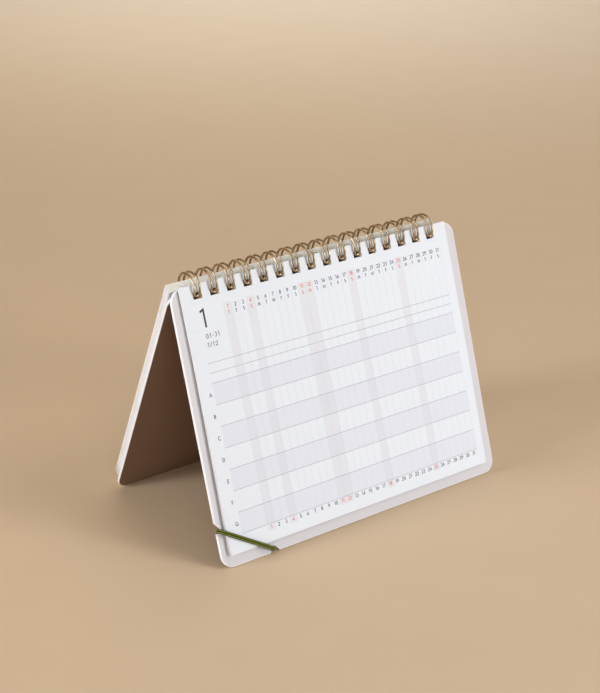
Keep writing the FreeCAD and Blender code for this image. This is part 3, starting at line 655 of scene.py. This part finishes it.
# ------------------------------------------------------------------- tube
def tube(name, pts, radius, sides, cap=True, start=(0.3, 0.5, 0.8)):
    """Round tube along a polyline in mm, with UVs along and round it."""
    pts = np.asarray(pts, float)
    keep = [0]
    for i in range(1, len(pts)):
        if np.linalg.norm(pts[i] - pts[keep[-1]]) > 1e-4:
            keep.append(i)
    pts = pts[keep]
    closed = not cap
    m = len(pts)
    if closed:
        tang = np.roll(pts, -1, 0) - np.roll(pts, 1, 0)
    else:
        tang = np.gradient(pts, axis=0)
    tang /= np.linalg.norm(tang, axis=1)[:, None]
    side = np.cross(tang[0], start)
    side /= np.linalg.norm(side)
    frames = []
    for i in range(m):
        side = side - tang[i] * (side @ tang[i])
        side /= np.linalg.norm(side)
        frames.append((side.copy(), np.cross(tang[i], side)))
    twist = 0.0
    if closed:
        # spread the frame's closing angle over the loop
        s0, t0 = frames[0]
        s = side - tang[0] * (side @ tang[0])
        s /= np.linalg.norm(s)
        twist = math.atan2(float(s @ t0), float(s @ s0))
    verts, uvs = [], []
    run = np.concatenate([[0], np.cumsum(np.linalg.norm(np.diff(pts, axis=0), axis=1))])
    for i in range(m):
        s, t = frames[i]
        for k in range(sides):
            a = 2 * math.pi * k / sides - twist * i / m
            verts.append(pts[i] + (s * math.cos(a) + t * math.sin(a)) * radius)
    faces, fuv = [], []
    span = range(m) if closed else range(m - 1)
    total = run[-1] + (np.linalg.norm(pts[0] - pts[-1]) if closed else 0)
    for i in span:
        j = (i + 1) % m
        u0 = run[i]
        u1 = run[j] if j else total
        for k in range(sides):
            l = (k + 1) % sides
            faces.append((i * sides + k, i * sides + l, j * sides + l, j * sides + k))
            fuv.append([(u0, k / sides), (u0, (k + 1) / sides), (u1, (k + 1) / sides), (u1, k / sides)])
    if cap:
        for end, flip in ((0, True), (m - 1, False)):
            c = len(verts)
            verts.append(pts[end] + tang[end] * (radius * 0.25 * (-1 if end == 0 else 1)))
            for k in range(sides):
                l = (k + 1) % sides
                tri = (end * sides + k, end * sides + l, c)
                faces.append(tri[::-1] if flip else tri)
                fuv.append([(0, 0)] * 3)
    mesh = bpy.data.meshes.new(name)
    mesh.from_pydata([tuple(v * MM) for v in verts], [], faces)
    layer = mesh.uv_layers.new(name="UVMap")
    flat = [c for f in fuv for c in f]
    for loop, (a, b) in zip(layer.data, flat):
        loop.uv = (a / 2.0, b)
    for p in mesh.polygons:
        p.use_smooth = True
    bm = bmesh.new()
    bm.from_mesh(mesh)
    bmesh.ops.recalc_face_normals(bm, faces=bm.faces)
    bm.to_mesh(mesh)
    bm.free()
    return mesh


# ------------------------------------------------------------------- wire
R_RING, SPREAD, BEND, STUB = 6.2, 1.3, 1.0, 0.8
ROOT, TIP = -59.9, -388.0


def on_ring(x, deg, r=R_RING):
    a = math.radians(deg)
    return np.array([x, 0, 0]) + RING + (F_OUT * math.cos(a) + F_UP * math.sin(a)) * r


def along(deg):
    a = math.radians(deg)
    return F_UP * math.cos(a) - F_OUT * math.sin(a)


def quarter(p, d0, d1, r, steps=7):
    c = p + d1 * r
    return [c - d1 * (r * math.cos(t)) + d0 * (r * math.sin(t)) for t in np.linspace(0, math.pi / 2, steps)]


wire_pts = []
wob = random.Random(5)
for k in range(COUNT):
    cx = HOLE_U[k] + CENTRE_X
    xl, xr = cx - SPREAD, cx + SPREAD
    rise = along(ROOT)
    corner = on_ring(xl, ROOT) + rise * BEND - EX * BEND
    if not k:
        wire_pts.append(corner - EX * STUB)
    wire_pts += quarter(corner, EX, -rise, BEND)
    lift = wob.uniform(-0.06, -0.015)
    lean = wob.uniform(-0.05, 0.05)
    steps = 54
    for s in range(1, steps + 1):
        d = ROOT + (TIP - ROOT) * s / steps
        w = math.sin(math.pi * s / steps)
        wire_pts.append(on_ring(xl + lean * w, d, R_RING + lift * w))
    for t in np.linspace(0, math.pi, 13)[1:]:
        wire_pts.append(on_ring(cx, TIP) - EX * SPREAD * math.cos(t) - along(TIP) * SPREAD * math.sin(t))
    for s in range(steps - 1, -1, -1):
        d = ROOT + (TIP - ROOT) * s / steps
        w = math.sin(math.pi * s / steps)
        wire_pts.append(on_ring(xr + lean * w, d, R_RING + lift * w))
    wire_pts += quarter(on_ring(xr, ROOT), rise, EX, BEND)[1:]
wire_pts.append(wire_pts[-1] + EX * STUB)
wire_mesh = tube("twin_loop", wire_pts, 0.5, 12)
link_object("twin_loop", wire_mesh, "front_leaf", [WIRE], ("twin_loop_wire",))

# ---------------------------------------------------------------- elastic
side_c, foot_c = np.array(SIDE_NOTCH), np.array(FOOT_NOTCH)
diag = foot_c - side_c
length = float(np.linalg.norm(diag))
diag /= length
span_l = length - 2 * NOTCH_R
touch = side_c + diag * NOTCH_R
er, eg = 0.54, 0.20
PITCH_2, ROUNDING = 1.0, 0.85
face_n = 2.05
near_n, far_n = -BOARD_T - er - eg, face_n + er + 0.1
side_s, foot_s = -er - eg - 0.04, span_l + er + eg + 0.45
corner_pts = [(side_s, near_n), (side_s, far_n), (span_l - 4.2, far_n), (foot_s, 0.65), (foot_s, near_n)]
loop2 = []
for k in range(5):
    p0, p1, p2 = (np.array(corner_pts[(k + j) % 5]) for j in (-1, 0, 1))
    d0, d2 = (p0 - p1) / np.linalg.norm(p0 - p1), (p2 - p1) / np.linalg.norm(p2 - p1)
    half = math.acos(float(np.clip(d0 @ d2, -1, 1))) / 2
    back = ROUNDING / math.tan(half)
    bis = (d0 + d2) / np.linalg.norm(d0 + d2)
    c = p1 + bis * (ROUNDING / math.sin(half))
    a, b = p1 + d0 * back, p1 + d2 * back
    ra, rb = a - c, b - c
    swing = math.acos(float(np.clip(ra @ rb / (np.linalg.norm(ra) * np.linalg.norm(rb)), -1, 1)))
    turn = 1 if ra[0] * rb[1] - ra[1] * rb[0] > 0 else -1
    for t in np.linspace(0, swing, 9):
        ct, st = math.cos(t * turn), math.sin(t * turn)
        loop2.append(c + np.array([ra[0] * ct - ra[1] * st, ra[0] * st + ra[1] * ct]))
dense = []
for k in range(len(loop2)):
    a, b = loop2[k], loop2[(k + 1) % len(loop2)]
    m = max(1, int(np.linalg.norm(b - a) / 0.4))
    dense += [a + (b - a) * i / m for i in range(m)]
across = np.array([-diag[1], diag[0]])
ahead, behind = dense[1], dense[-1]
cord_start = front(np.array([*(diag * (ahead[0] - behind[0])), ahead[1] - behind[1]])) - front(np.zeros(3))
cord_start /= np.linalg.norm(cord_start)
# the frame's first direction is then the one across the two strands
plane_normal = np.cross(across[0] * EX + across[1] * F_UP, cord_start)
both = bmesh.new()
for strand in (-0.5, 0.5):
    off = across * strand * PITCH_2
    part = tube("strand", [front(np.array([*(touch + diag * s + off), nn])) for s, nn in dense], 0.5, 20, cap=False, start=plane_normal)
    both.from_mesh(part)
    bpy.data.meshes.remove(part)
cord_mesh = bpy.data.meshes.new("corner_elastic")
both.to_mesh(cord_mesh)
both.free()
link_object("corner_elastic", cord_mesh, "front_leaf", [CORD], ("corner_elastic_band",))

# ---------------------------------------------------------- floor, lights
floor_mesh = bpy.data.meshes.new("floor")
floor_mesh.from_pydata([(-4, -4, 0), (4, -4, 0), (4, 4, 0), (-4, 4, 0)], [], [(0, 1, 2, 3)])
floor = bpy.data.objects.new("floor", floor_mesh)
scene.collection.objects.link(floor)
fm = Nodes("pale_floor")
fv = fm.coords()
fm.link(fm.mix(fm.math("ADD", fm.math("MULTIPLY", fm.noise(fv, 30.0, 4.0), 0.5), fm.math("MULTIPLY", fm.noise(fv, 700.0, 3.0), 0.5)), lin(205, 183, 153), lin(215, 193, 163)), fm.bsdf.inputs["Base Color"])
fm.bsdf.inputs["Roughness"].default_value = 0.9
fm.bsdf.inputs["Specular IOR Level"].default_value = 0.15
floor_mesh.materials.append(fm.mat)


def area(name, loc, look, size, power, colour=(1, 1, 1)):
    d = bpy.data.lights.new(name, "AREA")
    d.shape = "RECTANGLE"
    d.size, d.size_y = size
    d.energy = power
    d.color = colour
    o = bpy.data.objects.new(name, d)
    o.location = loc
    o.rotation_mode = "QUATERNION"
    o.rotation_quaternion = (Vector(look) - Vector(loc)).to_track_quat("-Z", "Y")
    scene.collection.objects.link(o)
    return o


def sky(az, el, dist):
    """Place seen from the object at this azimuth (0 in front, + to the right)."""
    a, e = math.radians(az), math.radians(el)
    return (dist * math.sin(a) * math.cos(e), -dist * math.cos(a) * math.cos(e), dist * math.sin(e))


AIM = (0, 0, 0.05)
COOL, NEUTRAL = (0.91, 0.935, 1.0), (0.96, 0.96, 1.0)
area("key", sky(30, 12, 1.2), AIM, (0.34, 0.34), 5.0, COOL)
area("key_above", sky(28, 20, 1.2), AIM, (0.34, 0.34), 1.8, COOL)
area("fill", sky(-32, 24, 1.2), AIM, (0.6, 0.6), 2.3, COOL)
area("high", sky(24, 52, 1.2), AIM, (0.36, 0.36), 2.6, COOL)
area("top", sky(60, 78, 1.2), AIM, (0.5, 0.5), 1.6, NEUTRAL)
for name, az, el, power in (("left", -90, 16, 0.58), ("left_low", -98, 16, 0.80), ("left_high", -98, 28, 0.87)):
    # kept off the floor beside the lamp
    area(name, sky(az, el, 1.2), AIM, (0.36, 0.36), power, NEUTRAL).data.spread = math.radians(90)
area("back", sky(160, 40, 1.25), AIM, (0.9, 0.9), 2.2, (1.0, 0.80, 0.55))
far = area("far_floor", (0.85, 1.15, 1.3), (0.85, 1.15, 0), (1.1, 1.1), 6.5, (0.70, 0.82, 1.0))
far.data.spread = math.radians(80)
world = bpy.data.worlds.new("studio")
world.use_nodes = True
world.node_tree.nodes["Background"].inputs[0].default_value = (1.0, 0.73, 0.48, 1)
world.node_tree.nodes["Background"].inputs[1].default_value = 0.22
scene.world = world

# ----------------------------------------------------------------- camera
yaw, pitch, roll = 0.639520699, 0.412431241, 0.00614645471
fwd = Vector((math.sin(yaw) * math.cos(pitch), math.cos(yaw) * math.cos(pitch), -math.sin(pitch)))
right = Vector((math.cos(yaw), -math.sin(yaw), 0))
up = right.cross(fwd)
r2 = right * math.cos(roll) + up * math.sin(roll)
u2 = up * math.cos(roll) - right * math.sin(roll)
cam_data = bpy.data.cameras.new("camera")
cam_data.lens = 1598.91 / 693 * 36
cam_data.sensor_width = 36
cam_data.clip_start, cam_data.clip_end = 0.02, 30
cam = bpy.data.objects.new("camera", cam_data)
mat = Matrix(((r2.x, u2.x, -fwd.x, 0), (r2.y, u2.y, -fwd.y, 0), (r2.z, u2.z, -fwd.z, 0), (0, 0, 0, 1)))
mat.translation = Vector((-397.794 + CENTRE_X, -484.782 - 43.178, 357.313)) * MM
cam.matrix_world = mat
scene.collection.objects.link(cam)
scene.camera = cam
